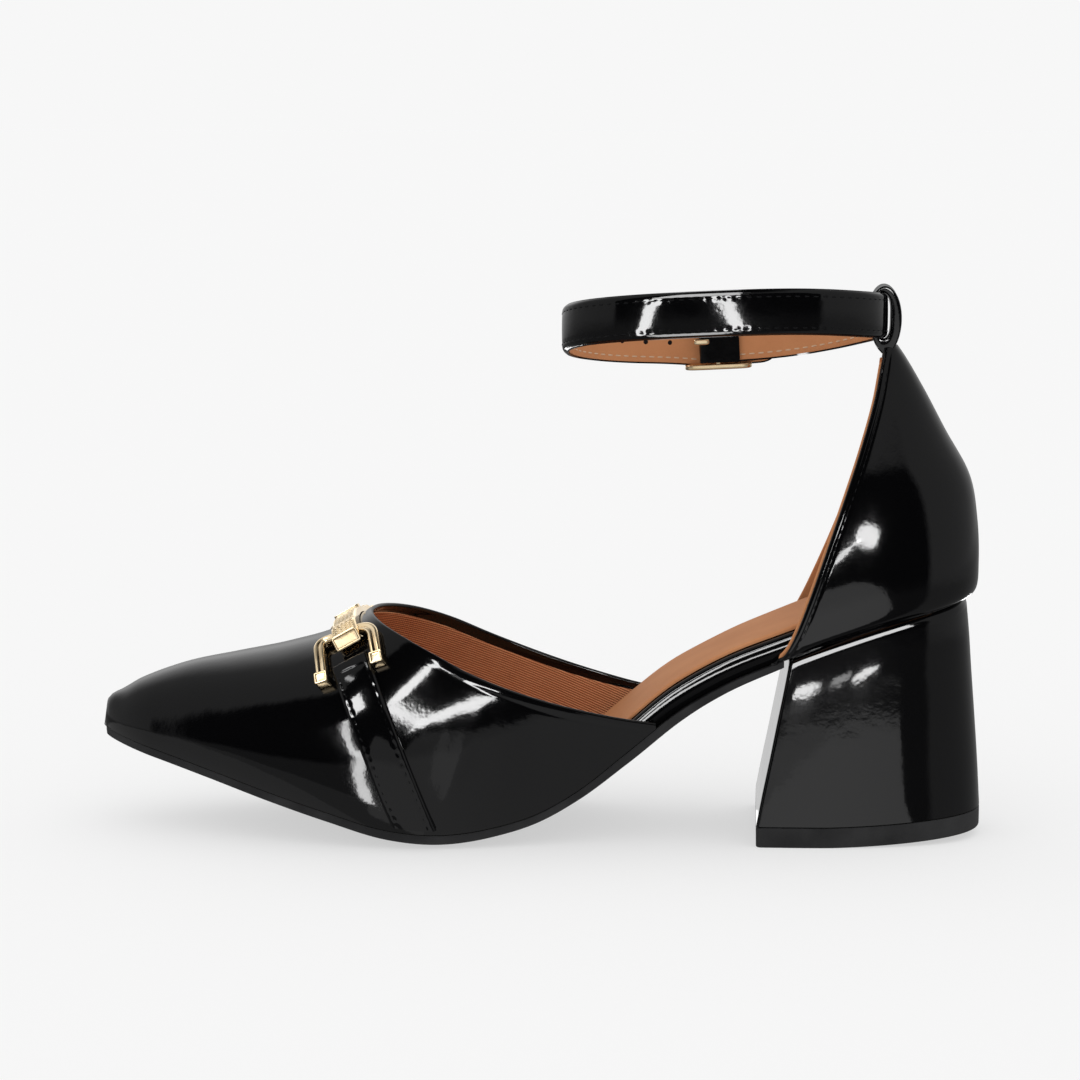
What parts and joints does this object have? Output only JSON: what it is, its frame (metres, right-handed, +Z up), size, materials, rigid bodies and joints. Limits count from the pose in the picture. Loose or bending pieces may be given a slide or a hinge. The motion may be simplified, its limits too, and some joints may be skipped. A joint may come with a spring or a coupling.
{
  "type": "block heel pump",
  "caption": "Pointed pump cut low on both sides, with a flared block heel, an ankle strap through a loop at the top of the counter and a metal trim across the vamp.",
  "frame": {"origin": "centre of the footprint's bounding box, on the floor", "axes": "+X from the toe to the heel along the shoe, +Y to the outer side of the foot, +Z up"},
  "size_m": [0.2466, 0.079, 0.1532],
  "materials": {
    "patent_black": "black patent with a clear gloss coat",
    "sole_black": "matt black",
    "sock_tan": "smooth tan lining",
    "trim_gold": "polished pale gold plate"
  },
  "bodies": {
    "root": {"outsole": "sole_black", "insole_board": "patent_black", "insole": "sock_tan", "heel_block": "patent_black", "top_lift": "sole_black", "vamp": "patent_black", "counter": "patent_black", "vamp_strap_inner": "patent_black", "vamp_strap_outer": "patent_black", "vamp_trim": "trim_gold", "ankle_strap": "patent_black", "buckle_frame": "trim_gold", "buckle_prong": "trim_gold"}
  },
  "joints": []
}
